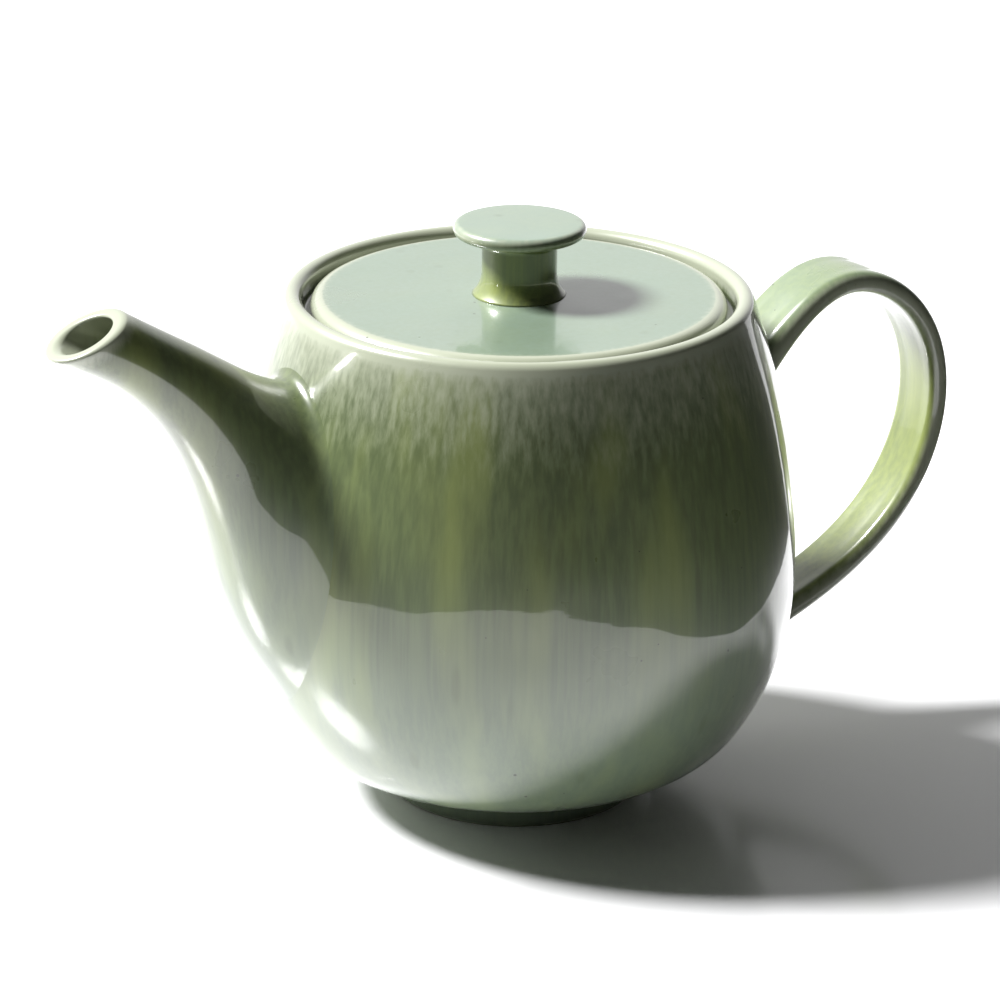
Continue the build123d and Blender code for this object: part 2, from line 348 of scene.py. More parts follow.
def resample(lines, first, last, count):
    """Each line of a bundle between its own first and last step, with the same count of points."""
    made = np.zeros((count, lines.shape[1], 3))
    for j in range(lines.shape[1]):
        at = np.linspace(first[j], last[j], count)
        for axis in range(3):
            made[:, j, axis] = np.interp(at, np.arange(lines.shape[0]), lines[:, j, axis])
    return list(made)


def wear_and_light(mesh, breaks_and_light):
    worn_and_lit = mesh.attributes.new(BREAK_AND_LIGHT, "FLOAT", "POINT")
    worn_and_lit.data.foreach_set("value", np.array(breaks_and_light, np.float32).ravel())


def skin(name, rings, breaks_and_light, closed):
    """A mesh over rings of points. Closed rings run round to the first; open ones are capped."""
    count, around = len(rings), len(rings[0])
    faces = []
    for i in range(count if closed else count - 1):
        for j in range(around):
            k, m = (i + 1) % count, (j + 1) % around
            faces.append((i * around + j, i * around + m, k * around + m, k * around + j))
    if not closed:
        faces.append(tuple(range(around))[::-1])
        faces.append(tuple((count - 1) * around + j for j in range(around)))
    mesh = bpy.data.meshes.new(name)
    mesh.from_pydata([tuple(p) for ring in rings for p in ring], [], faces)
    wear_and_light(mesh, breaks_and_light)
    return mesh


def faces_out(mesh):
    """Turns a closed mesh's faces outwards and shades it smooth."""
    mesh.update()
    mesh.calc_loop_triangles()
    points = np.array([v.co for v in mesh.vertices])
    a, b, c = (points[[t.vertices[i] for t in mesh.loop_triangles]] for i in range(3))
    if (np.cross(a, b) * c).sum() < 0:
        mesh.flip_normals()
    mesh.shade_smooth()
    return mesh


def piece(name, mesh):
    made = bpy.data.objects.new(name, mesh)
    bpy.context.scene.collection.objects.link(made)
    return made


# --- node trees --------------------------------------------------------------------------


def add_node(tree, kind, inputs=None, **settings):
    """Adds a node, sets what it is set to, and links or fills its inputs."""
    made = tree.nodes.new(kind)
    for name, value in settings.items():
        setattr(made, name, value)
    for socket, value in (inputs or {}).items():
        if isinstance(value, bpy.types.NodeSocket):
            tree.links.new(value, made.inputs[socket])
        else:
            made.inputs[socket].default_value = value
    return made


def geometry_tree(name, sockets):
    """A geometry tree with named inputs. Returns it with its input node."""
    tree = bpy.data.node_groups.new(name, "GeometryNodeTree")
    for label, kind in sockets.items():
        tree.interface.new_socket(label, in_out="INPUT", socket_type=f"NodeSocket{kind}")
    tree.interface.new_socket("Geometry", in_out="OUTPUT", socket_type="NodeSocketGeometry")
    return tree, tree.nodes.new("NodeGroupInput")


def give_out(tree, geometry, glaze):
    """Ends a geometry tree with its real mesh, glazed."""
    real = add_node(tree, "GeometryNodeRealizeInstances", {"Geometry": geometry}).outputs[0]
    glazed = add_node(tree, "GeometryNodeSetMaterial", {"Geometry": real, "Material": glaze})
    add_node(tree, "NodeGroupOutput", {0: glazed.outputs[0]})
    return tree


def maths(tree, operation, *values):
    return add_node(tree, "ShaderNodeMath", dict(enumerate(values)), operation=operation).outputs[0]


def lathe_tree():
    """Turns a side view, a row of points with x as the radius, round Z into a closed skin."""
    sockets = {"Side View": "Geometry", "Segments": "Int", "Join Distance": "Float"}
    tree, given = geometry_tree("wheel_thrown", {**sockets, "Glaze": "Material"})
    view, segments = given.outputs["Side View"], given.outputs["Segments"]

    points = add_node(tree, "GeometryNodeAttributeDomainSize", {"Geometry": view}).outputs["Point Count"]
    size = {"Vertices X": maths(tree, "ADD", segments, 1.0), "Vertices Y": points}
    grid = add_node(tree, "GeometryNodeMeshGrid", size).outputs["Mesh"]
    # The grid's points run along the side view first, then round from column to column.
    index = add_node(tree, "GeometryNodeInputIndex").outputs[0]
    row = maths(tree, "MODULO", index, points)
    column = maths(tree, "FLOOR", maths(tree, "DIVIDE", index, points))
    angle = maths(tree, "MULTIPLY", column, maths(tree, "DIVIDE", 2 * pi, segments))
    place = add_node(tree, "GeometryNodeInputPosition").outputs[0]
    drawn = {"Geometry": view, "Value": place, "Index": row}
    drawn = add_node(tree, "GeometryNodeSampleIndex", drawn, data_type="FLOAT_VECTOR").outputs[0]
    worn_and_lit = add_node(tree, "GeometryNodeInputNamedAttribute", {"Name": BREAK_AND_LIGHT}, data_type="FLOAT")
    worn_and_lit = {"Geometry": view, "Value": worn_and_lit.outputs["Attribute"], "Index": row}
    worn_and_lit = add_node(tree, "GeometryNodeSampleIndex", worn_and_lit, data_type="FLOAT").outputs[0]
    drawn = {"Vector": drawn, "Angle": angle}
    drawn = add_node(tree, "ShaderNodeVectorRotate", drawn, rotation_type="Z_AXIS").outputs[0]
    turned = add_node(tree, "GeometryNodeSetPosition", {"Geometry": grid, "Position": drawn})
    kept = {"Geometry": turned.outputs[0], "Name": BREAK_AND_LIGHT, "Value": worn_and_lit}
    kept = add_node(tree, "GeometryNodeStoreNamedAttribute", kept, data_type="FLOAT", domain="POINT")
    shut = {"Geometry": kept.outputs[0], "Distance": given.outputs["Join Distance"]}
    shut = add_node(tree, "GeometryNodeMergeByDistance", shut)
    return give_out(tree, shut.outputs[0], given.outputs["Glaze"])


def strainer_tree():
    """Punches a centre hole and two rings of holes level through the wall behind the spout."""
    sockets = {"Pot": "Geometry", "Hole Radius": "Float", "Reach": "Float", "Centre": "Vector"}
    for ring in ("Inner Ring", "Outer Ring"):
        sockets |= {f"{ring} Radius": "Float", f"{ring} Holes": "Int"}
    tree, given = geometry_tree("strainer", {**sockets, "Glaze": "Material"})
    holes = add_node(tree, "GeometryNodeJoinGeometry")
    middle = add_node(tree, "GeometryNodeMeshLine", {"Count": 1})
    tree.links.new(middle.outputs[0], holes.inputs[0])
    for ring in ("Inner Ring", "Outer Ring"):
        size = {"Radius": given.outputs[f"{ring} Radius"], "Vertices": given.outputs[f"{ring} Holes"]}
        made = add_node(tree, "GeometryNodeMeshCircle", size)
        tree.links.new(made.outputs[0], holes.inputs[0])
    punch = {"Vertices": 28, "Radius": given.outputs["Hole Radius"], "Depth": given.outputs["Reach"]}
    punch = add_node(tree, "GeometryNodeMeshCylinder", punch).outputs["Mesh"]
    pins = {"Points": holes.outputs[0], "Instance": punch}
    pins = add_node(tree, "GeometryNodeInstanceOnPoints", pins).outputs[0]
    pins = add_node(tree, "GeometryNodeRealizeInstances", {"Geometry": pins}).outputs[0]
    pins = {"Geometry": pins, "Translation": given.outputs["Centre"], "Rotation": (pi / 2, 0, pi / 2)}
    pins = add_node(tree, "GeometryNodeTransform", pins).outputs[0]
    cut = {"Mesh 1": given.outputs["Pot"], "Mesh 2": pins}
    cut = add_node(tree, "GeometryNodeMeshBoolean", cut, operation="DIFFERENCE", solver="MANIFOLD")
    return give_out(tree, cut.outputs[0], given.outputs["Glaze"])


def grow(made, tree, **given):
    """Runs a geometry tree on a piece and keeps the result as its plain mesh."""
    modifier = made.modifiers.new(tree.name, "NODES")
    modifier.node_group = tree
    for socket in tree.interface.items_tree:
        label = socket.name.replace(" ", "_").lower()
        if socket.in_out == "INPUT" and label in given:
            modifier[socket.identifier] = given[label]
    solid = bpy.data.meshes.new_from_object(made.evaluated_get(bpy.context.evaluated_depsgraph_get()))
    made.modifiers.remove(modifier)
    if not len(solid.polygons):
        raise RuntimeError(f"{tree.name} made nothing of {made.name}")
    made.data = solid
    return made


def throw(name, line, breaks_and_light, segments, glaze):
    """A piece turned round Z from its side view."""
    mesh = bpy.data.meshes.new(name)
    mesh.from_pydata([(r, 0, z) for r, z in line], [], [])
    wear_and_light(mesh, breaks_and_light)
    made = piece(name, mesh)
    grow(made, lathe_tree(), segments=segments, join_distance=0.01 * MM, glaze=glaze)
    faces_out(made.data)
    return made


# --- glaze -------------------------------------------------------------------------------


def celadon(name, body, clear, bloom_and_reflection, between, streaks):
    """Celadon-olive reactive glaze fired on stoneware: glassy and a little uneven, thick and green on
    the walls, milky where it lies flat or settles low, cream where it runs off an edge, with fine
    upright runs and iron specks from the clay. Low on the pot and spout the milky mist is also a painted
    reflection of the white table, and inside the spout's mouth the cream is also painted light. body
    names the two colours that the runs go between, streaks is how strong they are, clear how much spring
    green comes over them, and bloom how much milk and painted reflection, which grows between two
    heights."""
    shades = bpy.context.scene.teapot_glaze
    made = bpy.data.materials.new(f"stoneware_glaze_{name}")
    made.use_nodes = True
    tree = made.node_tree
    tree.nodes.clear()
    place = add_node(tree, "ShaderNodeTexCoord").outputs["Object"]
    height = add_node(tree, "ShaderNodeSeparateXYZ", {0: place}).outputs["Z"]

    def cells(across, along):
        """The place counted in cells of that width and height, in millimetres."""
        scale = (1 / (across * MM), 1 / (across * MM), 1 / (along * MM))
        return add_node(tree, "ShaderNodeMapping", {"Vector": place, "Scale": scale}).outputs[0]

    def noise(at, scale, detail, roughness=0.5):
        inputs = {"Vector": at, "Scale": scale, "Detail": detail, "Roughness": roughness}
        return add_node(tree, "ShaderNodeTexNoise", inputs).outputs[0]

    def ramp(value, start, end, low, high, shape="SMOOTHSTEP"):
        """Takes the range from start to end to the one from low to high."""
        inputs = {0: value, 1: start, 2: end, 3: low, 4: high}
        return add_node(tree, "ShaderNodeMapRange", inputs, interpolation_type=shape).outputs[0]

    def over(share, under, shade):
        """Lays a share of a shade over what is under it."""
        inputs = {0: share, 6: under, 7: (*shade, 1)}
        return add_node(tree, "ShaderNodeMix", inputs, data_type="RGBA").outputs[2]

    # Runs are 1 to 2 mm wide and some 60 mm long.
    runs = noise(cells(1.5, 62), 1.0, 3.0, 0.6)
    wide = noise(cells(14, 90), 1.0, 2.0)
    clouds = noise(place, 1 / (26 * MM), 4.0, 0.55)
    thick = ramp(runs, 0.3, 0.7, 0.5 - streaks / 2, 0.5 + streaks / 2)
    first, second = (getattr(shades, shade) for shade in body)
    coat = over(thick, (*first, 1), second)
    coat = over(ramp(wide, 0.45, 0.72, 0.0, clear), coat, shades.spring)
    # The milk grows between two heights. On the pot and spout it lies low and is also a painted
    # reflection of the white table.
    low = ramp(height, *between, 0.0, bloom_and_reflection)
    cloudy = ramp(clouds, 0.3, 0.7, 0.72, 1.0, "LINEAR")
    coat = over(maths(tree, "MULTIPLY", low, cloudy), coat, shades.mist_and_reflection)
    # Short dark runs, some 2 mm by 10 mm, where the wall passes near a point of a tall lattice.
    drips = add_node(tree, "ShaderNodeTexVoronoi", {"Vector": cells(11, 46), "Scale": 1.0})
    coat = over(ramp(drips.outputs["Distance"], 0.05, 0.16, 0.6 * streaks, 0.0), coat, shades.deep)
    # The glaze runs off edges unevenly. Inside the spout's mouth the same cream is painted light.
    worn_and_lit = add_node(tree, "ShaderNodeAttribute", attribute_name=BREAK_AND_LIGHT).outputs["Fac"]
    uneven = maths(tree, "MULTIPLY_ADD", runs, 0.5, worn_and_lit)
    coat = over(ramp(uneven, 0.45, 1.05, 0.0, 1.0), coat, shades.cream)
    # Iron specks up to 0.7 mm across, from one cell in six of a 4 mm lattice.
    specks = add_node(tree, "ShaderNodeTexVoronoi", {"Vector": place, "Scale": 1 / (4.2 * MM)})
    chosen = add_node(tree, "ShaderNodeSeparateColor", {0: specks.outputs["Color"]}).outputs[0]
    size = ramp(chosen, 0.82, 1.0, 0.0, 0.09, "LINEAR")
    speck = maths(tree, "MULTIPLY", maths(tree, "LESS_THAN", specks.outputs["Distance"], size), 0.7)
    coat = over(speck, coat, shades.iron)
    # The fired surface: slow waves left by the throwing and a fine orange peel.
    waves = noise(place, 1 / (17 * MM), 1.0)
    peel = noise(place, 1 / (1.6 * MM), 2.0)
    slow = {"Height": waves, "Strength": 1.0, "Distance": 0.22 * MM}
    slow = add_node(tree, "ShaderNodeBump", slow).outputs[0]
    fine = {"Height": peel, "Strength": 1.0, "Distance": 0.004 * MM, "Normal": slow}
    fine = add_node(tree, "ShaderNodeBump", fine).outputs[0]
    surface = add_node(
        tree,
        "ShaderNodeBsdfPrincipled",
        {
            "Base Color": coat,
            "Roughness": ramp(clouds, 0.3, 0.7, 0.26, 0.4, "LINEAR"),
            "IOR": 1.5,
            "Normal": fine,
            "Coat Weight": 1.0,
            "Coat Roughness": 0.035,
            "Coat IOR": 1.55,
            "Coat Normal": fine,
        },
    )
    add_node(tree, "ShaderNodeOutputMaterial", {"Surface": surface.outputs[0]})
    return made


def run_off(line, edge, lead, fade, above, most):
    """How far the glaze has run off a turned edge, for each point of a side view: it starts a
    lead inside the edge's radius and reaches its most over the fade, above a height."""
    return [
        most * min(1.0, max(0.0, (r - edge + lead) / fade)) if z > above else 0.0 for r, z in line
    ]


def plain(name, inputs):
    """A material of one shade, for the stage."""
    made = bpy.data.materials.new(name)
    made.use_nodes = True
    surface = made.node_tree.nodes["Principled BSDF"]
    for socket, value in inputs.items():
        surface.inputs[socket].default_value = value
    return made


# --- operators ---------------------------------------------------------------------------


class TEAPOT_OT_throw_pot(bpy.types.Operator):
    """Throws the pot with its lip, lid seat, foot ring and strainer"""

    bl_idname = "teapot.throw_pot"
    bl_label = "Throw the Pot"

    def execute(self, context):
        sizes, limbs = context.scene.teapot_pot, context.scene.teapot_limbs
        wall = Wall(sizes)
        round_lip = sizes.lip / 2
        lip_centre = (
            sizes.top_radius - round_lip * cos(wall.turn),
            sizes.top_height - round_lip * sin(wall.turn),
        )
        rim = lip_centre[1] + round_lip
        inner = lip_centre[0] - round_lip
        seat = rim - context.scene.teapot_lid.drop - context.scene.teapot_lid.thickness
        mouth = inner - sizes.seat_width
        spring = seat - sizes.seat_depth - sizes.seat_spring
        spring_turn = asin((spring - sizes.belly_height) / (wall.upper - sizes.wall))
        base_top = wall.base_centre[1] + wall.base * sin(wall.base_end)
        floor_top = base_top + sizes.floor
        floor_angle = asin((floor_top - wall.base_centre[1]) / (wall.base - sizes.wall))

        def under(radius):
            """Height of the underside at a radius."""
            return wall.base_centre[1] - sqrt(wall.base**2 - (radius - wall.base_centre[0]) ** 2)

        foot_in = sizes.foot_radius - sizes.foot_width
        outer_angle = -acos((sizes.foot_radius - wall.base_centre[0]) / wall.base)
        outside = wall.down(0, wall.turn, outer_angle)
        foot = [
            (0, base_top),
            (wall.base_centre[0] + wall.base * cos(wall.base_end), base_top),
            (foot_in, under(foot_in)),
            (foot_in, 0),
            (sizes.foot_radius, 0),
            (sizes.foot_radius, under(sizes.foot_radius)),
            outside[-2],
        ]
        foot = spread_out(soften(foot, {2: 1.2 * MM, 3: 0.8 * MM, 4: 0.8 * MM, 5: 1.4 * MM}), 4 * MM)
        lip = spin(lip_centre, round_lip, wall.turn, pi, 22)[1:]
        inside = wall.down(sizes.wall, spring_turn, floor_angle)
        ledge = [lip[-1], (inner, seat), (mouth, seat), (mouth, seat - sizes.seat_depth), *inside[:2]]
        ledge = spread_out(soften(ledge, {1: 1.0 * MM, 2: 0.7 * MM, 3: 0.7 * MM, 4: 2.0 * MM}), 3 * MM)
        line = foot + outside[::-1][2:] + lip + ledge[1:] + inside[2:] + [(0, floor_top)]
        # The glaze runs off the lip, lies thin below it and is wiped off the foot.
        lip_fade, thin_most, thin_reach, wiped = 1.6 * MM, 0.62, 38 * MM, 0.7 * MM
        breaks_and_light = []
        for r, z in line:
            off_lip = max(np.hypot(r - lip_centre[0], z - lip_centre[1]) - round_lip, 0)
            on_lip = max(0.0, 1 - off_lip / lip_fade) if z > seat + 1 * MM else 0.0
            below = r > inner + round_lip
            thinning = thin_most * max(0.0, 1 - abs(rim - z) / thin_reach) if below else 0.0
            breaks_and_light.append(max(on_lip, thinning, 1.0 if z < wiped else 0.0))
        # Low down the pot is paled with mist: milky glaze and a painted reflection of the white table.
        glaze = celadon(
            "pot", ("deep", "olive"), clear=0.5, bloom_and_reflection=0.45, between=(0.085, 0.03), streaks=0.6
        )
        pot = throw("pot", line, breaks_and_light, POT_SEGMENTS, glaze)
        (inner_radius, inner_holes), (outer_radius, outer_holes) = STRAINER_RINGS
        grow(
            pot,
            strainer_tree(),
            hole_radius=sizes.hole / 2,
            reach=STRAINER_REACH * MM,
            centre=(-(float(wall.radius(limbs.spout_height)) - 3 * MM), 0, limbs.spout_height),
            inner_ring_radius=inner_radius * MM,
            inner_ring_holes=inner_holes,
            outer_ring_radius=outer_radius * MM,
            outer_ring_holes=outer_holes,
            glaze=glaze,
        )
        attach(pot, "pot")
        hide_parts("pot_body")
        return {"FINISHED"}


class TEAPOT_OT_turn_lid(bpy.types.Operator):
    """Turns the lid with its shoulder, locating flange and steam vent"""

    bl_idname = "teapot.turn_lid"
    bl_label = "Turn the Lid"

    def execute(self, context):
        sizes, pot = context.scene.teapot_lid, context.scene.teapot_pot
        wall = Wall(pot)
        round_lip = pot.lip / 2
        inner = pot.top_radius - round_lip * (1 + cos(wall.turn))
        top = pot.top_height + round_lip * (1 - sin(wall.turn)) - sizes.drop
        seat, rim = top - sizes.thickness, inner - sizes.clearance
        flange = inner - pot.seat_width - sizes.flange_gap
        bore = flange - sizes.flange_thickness
        tip = seat - sizes.flange_depth
        corners = [(0, seat), (bore, seat), (bore, tip), (flange, tip)]
        corners += [(flange, seat), (rim, seat), (rim, top), (0, top)]
        rounds = {1: 1.0 * MM, 2: 1.1 * MM, 3: 1.1 * MM, 4: 0.5 * MM, 5: 1.0 * MM, 6: sizes.shoulder}
        line = spread_out(soften(corners, rounds), 2.5 * MM)
        shoulder = (rim - sizes.shoulder, top - sizes.shoulder)
        breaks_and_light = run_off(line, shoulder[0], 0.9 * MM, 1.4 * MM, shoulder[1] - 1 * MM, 1.0)
        glaze = celadon(
            "lid", ("olive", "mist_and_reflection"), clear=0.1, bloom_and_reflection=0.6, between=(0.1, 0.12), streaks=0.25
        )
        lid = throw("lid_plate", line, breaks_and_light, LID_SEGMENTS, glaze)
        angle, sides = radians(VENT_ANGLE), 32
        punch = bpy.data.meshes.new("vent_punch")
        turns = np.linspace(0, 2 * pi, sides + 1)[:-1]
        ring = [(sizes.vent / 2 * cos(a), sizes.vent / 2 * sin(a)) for a in turns]
        at = (sizes.vent_radius * cos(angle), sizes.vent_radius * sin(angle))
        punch.from_pydata(
            [(at[0] + x, at[1] + y, z) for z in (seat - 2 * MM, top + 2 * MM) for x, y in ring],
            [],
            [(i, (i + 1) % sides, sides + (i + 1) % sides, sides + i) for i in range(sides)]
            + [tuple(range(sides))[::-1], tuple(range(sides, 2 * sides))],
        )
        punch_piece = piece("vent_punch", faces_out(punch))
        cut = lid.modifiers.new("vent", "BOOLEAN")
        cut.operation, cut.solver, cut.object = "DIFFERENCE", "EXACT", punch_piece
        lid.data = bpy.data.meshes.new_from_object(lid.evaluated_get(context.evaluated_depsgraph_get()))
        lid.modifiers.remove(cut)
        bpy.data.objects.remove(punch_piece)
        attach(lid, "lid")
        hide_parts("lid")
        return {"FINISHED"}


class TEAPOT_OT_turn_knob(bpy.types.Operator):
    """Turns the mushroom knob on the lid"""

    bl_idname = "teapot.turn_knob"
    bl_label = "Turn the Knob"

    def execute(self, context):
        sizes = context.scene.teapot_lid
        low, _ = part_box("lid_knob")
        foot = low.z
        top = foot + sizes.knob_height
        edge = sizes.knob_edge / 2
        rise = sizes.knob_waist
        widen = sizes.knob_foot - sizes.knob_neck
        flare = (rise**2 + widen**2) / (2 * widen)
        sweep = asin(rise / flare)
        stem = spin((sizes.knob_neck + flare, foot + rise), flare, pi + sweep, pi, 12)
        # The disc's underside slopes down to the neck.
        neck = (sizes.knob_neck, top - sizes.knob_edge - 1.4 * MM)
        disc = (sizes.knob_radius - edge, top - edge)
        rim = spin(disc, edge, -pi / 2, pi / 2, 16)
        line = [(0, foot), *stem, neck, *rim, (0, top)]
        line = spread_out(soften(line, {line.index(neck): 1.6 * MM}), 1.6 * MM)
        breaks_and_light = run_off(line, disc[0], 0.8 * MM, 1.6 * MM, neck[1], 0.5)
        milky = (top - 2.4 * MM, top - 0.3 * MM)
        glaze = celadon("knob", ("olive", "spring"), clear=1.0, bloom_and_reflection=0.95, between=milky, streaks=0.5)
        knob = throw("knob", line, breaks_and_light, KNOB_SEGMENTS, glaze)
        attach(knob, "lid")
        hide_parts("lid_knob")
        return {"FINISHED"}


class TEAPOT_OT_pull_spout(bpy.types.Operator):
    """Models the hollow spout and smooths its root into the pot"""

    bl_idname = "teapot.pull_spout"
    bl_label = "Model the Spout"

    def execute(self, context):
        sizes = context.scene.teapot_limbs
        wall = Wall(context.scene.teapot_pot)
        root_radius = float(wall.radius(sizes.spout_height)) - sizes.spout_sink
        root = np.array([-root_radius, 0, sizes.spout_height])
        rows = []
        for (low_out, low_up), (high_out, high_up), half in SPOUT_SECTIONS:
            middle = ((low_out + high_out) / 2, (low_up + high_up) / 2)
            rows.append((*middle, high_out - low_out, high_up - low_up, half))
        around = 96
        turns = np.linspace(0, 2 * pi, around, endpoint=False)

        def rings(at, insets):
            """Oval sections at each share of the spout's length, each inset by its amount."""
            made = []
            for (out, up, lean, stand, half), inset in zip(smooth_through(rows, at) * MM, insets):
                tall = np.hypot(lean, stand)
                centre = root + np.array([-out, 0, up])
                upright = np.array([-lean, 0, stand]) / tall
                made.append(
                    centre
                    + np.outer(np.cos(turns) * (half - inset), (0, 1, 0))
                    + np.outer(np.sin(turns) * (tall / 2 - inset), upright)
                )
            return np.array(made)

        total = np.linalg.norm(np.diff(np.array(rows)[:, :2], axis=0), axis=1).sum() * MM
        lip, thick = sizes.spout_lip, sizes.spout_wall
        count, rim_steps = 500, 8
        fine = np.linspace(0, 1 - lip / total, count)
        outside, bore = rings(fine, [0] * count), rings(fine, [thick] * count)
        joint, leaves = joined(outside, wall, sizes.spout_lift, sizes.spout_spread, 16)
        body = resample(outside, leaves, [count - 1] * around, 110)[1:]
        out, back = np.linspace(0, pi / 2, rim_steps)[1:], np.linspace(pi / 2, 0, rim_steps)
        edge = [(1 - lip * (1 - sin(a)) / total, lip * (1 - cos(a))) for a in out]
        edge += [(1 - lip * (1 - sin(a)) / total, thick - lip * (1 - cos(a))) for a in back]
        mouth = list(rings([at for at, _ in edge], [inset for _, inset in edge]))
        _, bore_leaves = joined(bore, wall, 0.0, sizes.spout_spread, 3)
        channel = resample(bore, bore_leaves, [count - 1] * around, 70)[::-1][1:]
        channel.append(wall.onto(channel[-1], TUCK_SINK * MM))
        all_rings = joint + body + mouth + channel
        # The glaze has run off the mouth's edge and a short way outside it. The longer fade inside the
        # bore is painted light: the cream brightens the spout's inside as if light reached into it.
        mouth_start = len(joint) + len(body)
        tip = mouth[rim_steps - 1].mean(0)
        breaks_and_light = []
        for i, ring in enumerate(all_rings):
            if mouth_start <= i < mouth_start + len(mouth):
                worn_and_lit = 1.0
            else:
                fade = (7 if i < mouth_start else 30) * MM
                worn_and_lit = max(0.0, 1 - np.linalg.norm(ring.mean(0) - tip) / fade) * 0.9
            breaks_and_light.append([worn_and_lit] * around)
        mesh = skin("spout_skin", all_rings, breaks_and_light, True)
        spout = piece("spout_tube", faces_out(mesh))
        # Low down the spout is paled with mist: milky glaze and a painted reflection of the white table.
        glaze = celadon(
            "spout", ("deep", "olive"), clear=0.5, bloom_and_reflection=0.6, between=(0.115, 0.03), streaks=0.6
        )
        mesh.materials.append(glaze)
        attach(spout, "pot")
        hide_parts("spout")
        return {"FINISHED"}


class TEAPOT_OT_pull_handle(bpy.types.Operator):
    """Pulls the strap handle and smooths both roots into the pot"""

    bl_idname = "teapot.pull_handle"
    bl_label = "Pull the Handle"

    def execute(self, context):
        sizes, pot = context.scene.teapot_limbs, context.scene.teapot_pot
        wall = Wall(pot)
        top = pot.top_height - sizes.handle_drop
        upper = np.array([float(wall.radius(top)), top]) / MM
        lower = np.array([float(wall.radius(sizes.handle_foot)), sizes.handle_foot]) / MM
        grip = np.array([pot.belly_radius / MM + HANDLE_GRIP[0], top / MM + HANDLE_GRIP[1]])
        points = [upper + p for p in HANDLE_UPPER] + [grip] + [lower + p for p in HANDLE_LOWER]
        # One more point 5 mm inside each root gives the strap its slope there.
        rise, fall = radians(HANDLE_RISE), radians(HANDLE_FALL)
        lead = [points[0] - 5 * np.array([cos(rise), sin(rise)])]
        tail = [points[-1] - 5 * np.array([cos(fall), sin(fall)])]
        rough = smooth_through(lead + points + tail, np.linspace(0, 1, 1200))
        begin = np.argmin(np.linalg.norm(rough - points[0], axis=1))
        end = np.argmin(np.linalg.norm(rough - points[-1], axis=1))
        line = rough[begin : end + 1] * MM
        run = np.concatenate([[0], np.cumsum(np.linalg.norm(np.diff(line, axis=0), axis=1))])
        count = 700
        at = np.linspace(0, run[-1], count)
        x, z = np.interp(at, run, line[:, 0]), np.interp(at, run, line[:, 1])
        along = np.gradient(np.stack([x, z], 1), axis=0)
        along /= np.linalg.norm(along, axis=1, keepdims=True)
        # Width and thickness at each step, blurred so that the sections run into each other.
        stations = np.linspace(0, len(HANDLE_SECTIONS) - 1, count)
        table = np.array(HANDLE_SECTIONS)
        places = np.arange(len(table))
        blur = 61
        soft = [np.interp(stations, places, table[:, i]) for i in range(2)]
        soft = [np.pad(row, blur // 2, mode="edge") for row in soft]
        soft = np.array([np.convolve(row, np.ones(blur) / blur, "valid") for row in soft]) * MM
        # The section: half a round, a face, half a round and a face.
        outline = [(1, cos(a), sin(a)) for a in np.linspace(-pi / 2, pi / 2, 13)]
        outline += [(f, 0, 1) for f in np.linspace(1, -1, 9)[1:-1]]
        outline += [(-1, cos(a), sin(a)) for a in np.linspace(pi / 2, 3 * pi / 2, 13)]
        outline += [(f, 0, -1) for f in np.linspace(-1, 1, 9)[1:-1]]
        outline = np.array(outline)
        strap = np.zeros((count, len(outline), 3))
        for i in range(count):
            wide, thick = soft[0, i], soft[1, i]
            across = outline[:, 0] * (wide - thick) / 2 + outline[:, 1] * thick / 2
            # The faces are very slightly crowned.
            drop = HANDLE_CROWN * MM * outline[:, 0] ** 2 * (outline[:, 1] == 0)
            through = outline[:, 2] * (thick / 2 - drop)
            strap[i, :, 0] = x[i] + through * -along[i, 1]
            strap[i, :, 1] = across
            strap[i, :, 2] = z[i] + through * along[i, 0]
        joint = 14
        first, leaves = joined(strap, wall, sizes.handle_lift, sizes.handle_spread, joint)
        last, returns = joined(strap[::-1], wall, sizes.handle_lift, sizes.handle_spread, joint)
        body = resample(strap, leaves, count - 1 - returns, 220)[1:-1]
        rings = first + body + last[::-1]
        # The glaze thins along the strap's rounded edges, and less over the soft joints.
        edge = 0.75 * np.abs(outline[:, 1]) ** 1.5
        near = joint - 2
        shares = [0.25 if i < near or i >= len(rings) - near else 1.0 for i in range(len(rings))]
        breaks_and_light = [edge * share for share in shares]
        mesh = skin("handle_skin", rings, breaks_and_light, False)
        handle = piece("strap_handle", faces_out(mesh))
        glaze = celadon(
            "handle", ("olive", "spring"), clear=0.5, bloom_and_reflection=0.6, between=(0.085, 0.118), streaks=0.4
        )
        mesh.materials.append(glaze)
        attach(handle, "pot")
        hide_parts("handle")
        return {"FINISHED"}


